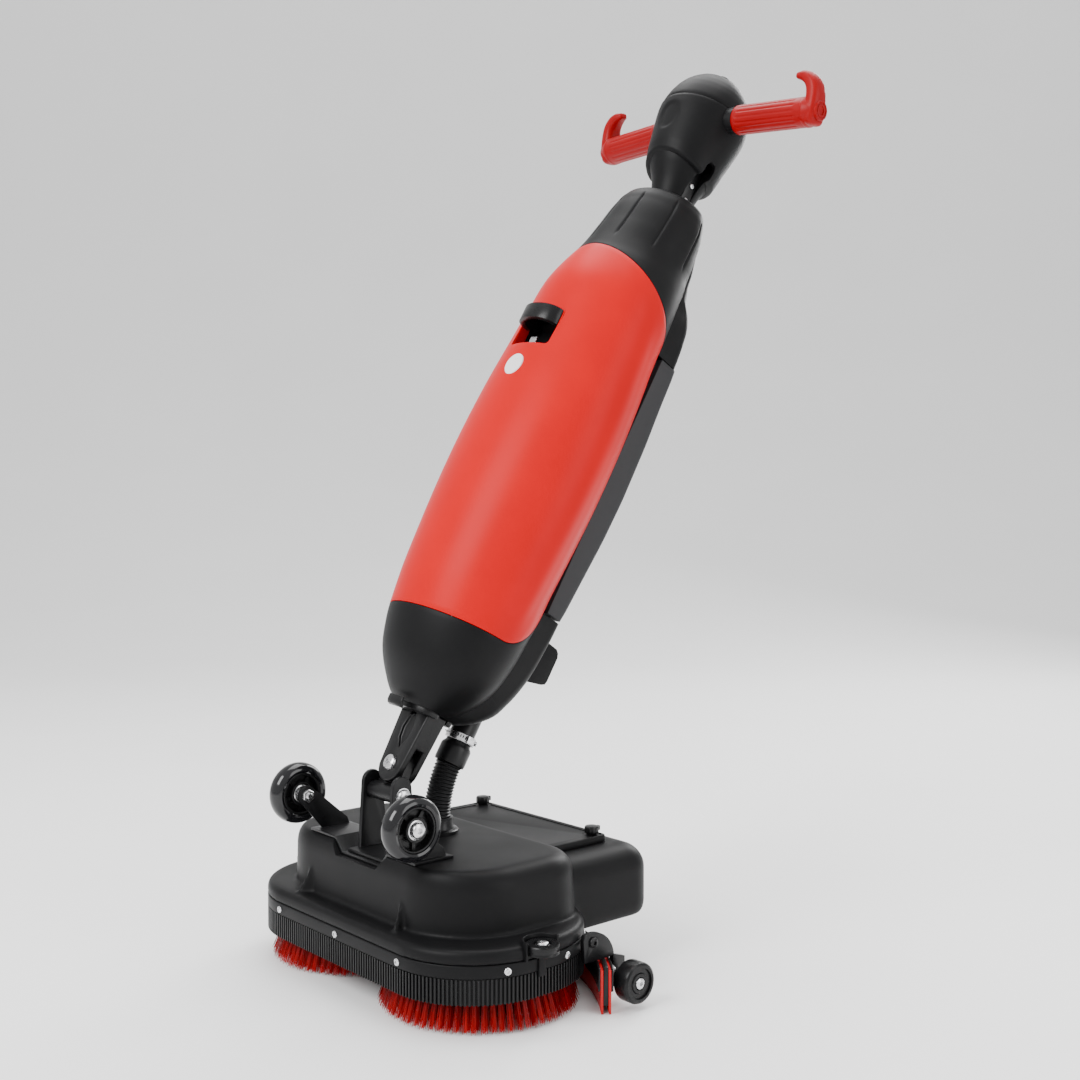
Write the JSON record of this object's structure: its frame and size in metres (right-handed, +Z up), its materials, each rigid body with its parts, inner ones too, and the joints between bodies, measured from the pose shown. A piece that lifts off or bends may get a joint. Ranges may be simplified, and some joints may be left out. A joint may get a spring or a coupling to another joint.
{
  "type": "wet dry floor scrubber",
  "caption": "Upright floor scrubber with a twin brush deck, curved squeegee, tilting and swinging body, removable front cover and a T handle with hooked grips.",
  "frame": {"origin": "on the floor, at the middle of the footprint", "axes": "+Z up; +Y to the rear, where the operator walks; +X to the right side seen from the front"},
  "size_m": [0.537, 0.638, 1.1495],
  "materials": {
    "black_plastic": "fine matt moulded texture",
    "red_plastic": "smooth satin gloss",
    "red_bristle": "nylon filament",
    "red_rubber": "matt rubber",
    "grey_plastic": "fine matt moulded texture",
    "black_metal": "satin powder coat",
    "steel": "zinc plated",
    "tyre": "glossy translucent polyurethane",
    "hose": "ribbed flexible plastic",
    "tank": "natural moulded plastic",
    "motor": "plain"
  },
  "bodies": {
    "deck": {"chassis_plate": "black_metal", "skirt_band": "black_plastic", "deck_cover": "black_plastic", "battery_cover": "black_plastic", "battery_left": "grey_plastic", "battery_right": "grey_plastic", "brush_motor_left": "motor", "brush_motor_right": "motor", "wheel_bracket": "black_metal", "pivot_bracket": "black_metal", "tilt_pin": "steel", "wheel_axle_bolt_left": "steel", "wheel_axle_bolt_right": "steel", "hose_socket": "black_plastic", "suction_hose_lower": "hose", "lift_pin_left": "steel", "lift_pin_right": "steel"},
    "knuckle": {"knuckle_block": "black_metal"},
    "body": {"body_bracket": "black_metal", "swing_bolt": "steel", "suction_hose_upper": "hose", "hose_clamp": "steel", "suction_pipe": "hose", "lower_shell": "black_plastic", "recovery_tank": "grey_plastic", "spine_tube": "steel", "solution_tank": "tank", "vacuum_motor": "motor", "collar": "black_plastic", "rear_block": "black_plastic", "neck": "black_plastic", "head_housing": "black_plastic", "head_cap": "black_plastic", "handlebar_tube": "black_metal", "grip_left": "red_plastic", "grip_right": "red_plastic"},
    "cover": {"front_cover": "red_plastic", "pocket_cup": "black_plastic"},
    "latch": {"latch_handle": "black_plastic"},
    "brush_left": {"brush_block_left": "black_plastic", "brush_bristles_left": "red_bristle"},
    "wheel_left": {"wheel_tyre_left": "tyre", "wheel_core_left": "black_plastic"},
    "bumper_left": {"bumper_roller_left": "black_plastic"},
    "brush_right": {"brush_block_right": "black_plastic", "brush_bristles_right": "red_bristle"},
    "wheel_right": {"wheel_tyre_right": "tyre", "wheel_core_right": "black_plastic"},
    "bumper_right": {"bumper_roller_right": "black_plastic"},
    "squeegee": {"squeegee_carrier": "black_metal", "squeegee_blade_front": "red_rubber", "squeegee_blade_rear": "red_rubber", "squeegee_arm_left": "black_metal", "squeegee_arm_right": "black_metal"},
    "squeegee_roller_left": {"squeegee_roller_left": "black_plastic"},
    "knob_left": {"cover_knob_left": "black_plastic"},
    "button_left": {"button_left": "tank"},
    "squeegee_roller_right": {"squeegee_roller_right": "black_plastic"},
    "knob_right": {"cover_knob_right": "black_plastic"},
    "button_right": {"button_right": "red_plastic"}
  },
  "joints": [
    {"name": "deck_tilt", "type": "hinge", "parent": "deck", "child": "knuckle", "pos_m": [0, -0.2318, 0.226], "axis": [-1, 0, 0], "range_deg": [-29, 20], "deforming": ["suction_hose_lower", "suction_hose_upper"]},
    {"name": "body_swing", "type": "hinge", "parent": "knuckle", "child": "body", "pos_m": [0, -0.2258, 0.261], "axis": [0, 0.8721, -0.4894], "range_deg": [-33, 27]},
    {"name": "brush_spin_left", "type": "hinge", "parent": "deck", "child": "brush_left", "pos_m": [-0.117, -0.1858, 0.05], "axis": [0, 0, 1], "continuous": true},
    {"name": "brush_spin_right", "type": "hinge", "parent": "deck", "child": "brush_right", "pos_m": [0.117, -0.1858, 0.05], "axis": [0, 0, 1], "continuous": true},
    {"name": "wheel_spin_left", "type": "hinge", "parent": "deck", "child": "wheel_left", "pos_m": [-0.119, -0.2818, 0.213], "axis": [1, 0, 0], "continuous": true},
    {"name": "wheel_spin_right", "type": "hinge", "parent": "deck", "child": "wheel_right", "pos_m": [0.119, -0.2818, 0.213], "axis": [1, 0, 0], "continuous": true},
    {"name": "bumper_spin_left", "type": "hinge", "parent": "deck", "child": "bumper_left", "pos_m": [-0.234, -0.1908, 0.089], "axis": [0, 0, 1], "continuous": true},
    {"name": "bumper_spin_right", "type": "hinge", "parent": "deck", "child": "bumper_right", "pos_m": [0.234, -0.1908, 0.089], "axis": [0, 0, 1], "continuous": true},
    {"name": "squeegee_lift", "type": "hinge", "parent": "deck", "child": "squeegee", "pos_m": [0, -0.1098, 0.076], "axis": [1, 0, 0], "range_deg": [0, 3]},
    {"name": "roller_spin_left", "type": "hinge", "parent": "squeegee", "child": "squeegee_roller_left", "pos_m": [-0.257, -0.0738, 0.031], "axis": [1, 0, 0], "continuous": true},
    {"name": "roller_spin_right", "type": "hinge", "parent": "squeegee", "child": "squeegee_roller_right", "pos_m": [0.257, -0.0738, 0.031], "axis": [1, 0, 0], "continuous": true},
    {"name": "knob_turn_left", "type": "hinge", "parent": "deck", "child": "knob_left", "pos_m": [-0.108, 0.0002, 0.16], "axis": [0, 0, 1], "range_deg": [0, 90]},
    {"name": "knob_turn_right", "type": "hinge", "parent": "deck", "child": "knob_right", "pos_m": [0.108, 0.0002, 0.16], "axis": [0, 0, -1], "range_deg": [0, 90]},
    {"name": "cover_pull", "type": "slide", "parent": "body", "child": "cover", "axis": [0, -0.8721, 0.4894], "range_m": [0, 0.05]},
    {"name": "latch_turn", "type": "hinge", "parent": "cover", "child": "latch", "pos_m": [0.03304, -0.00292, 0.79304], "axis": [0.9983, -0.0282, -0.0502], "range_deg": [0, 35]},
    {"name": "button_press_left", "type": "slide", "parent": "body", "child": "button_left", "axis": [-0.0576, -0.4886, -0.8706], "range_m": [0, 0.0018], "stiffness_N_per_m": 300},
    {"name": "button_press_right", "type": "slide", "parent": "body", "child": "button_right", "axis": [-0.0576, -0.4886, -0.8706], "range_m": [0, 0.0018], "stiffness_N_per_m": 300}
  ]
}
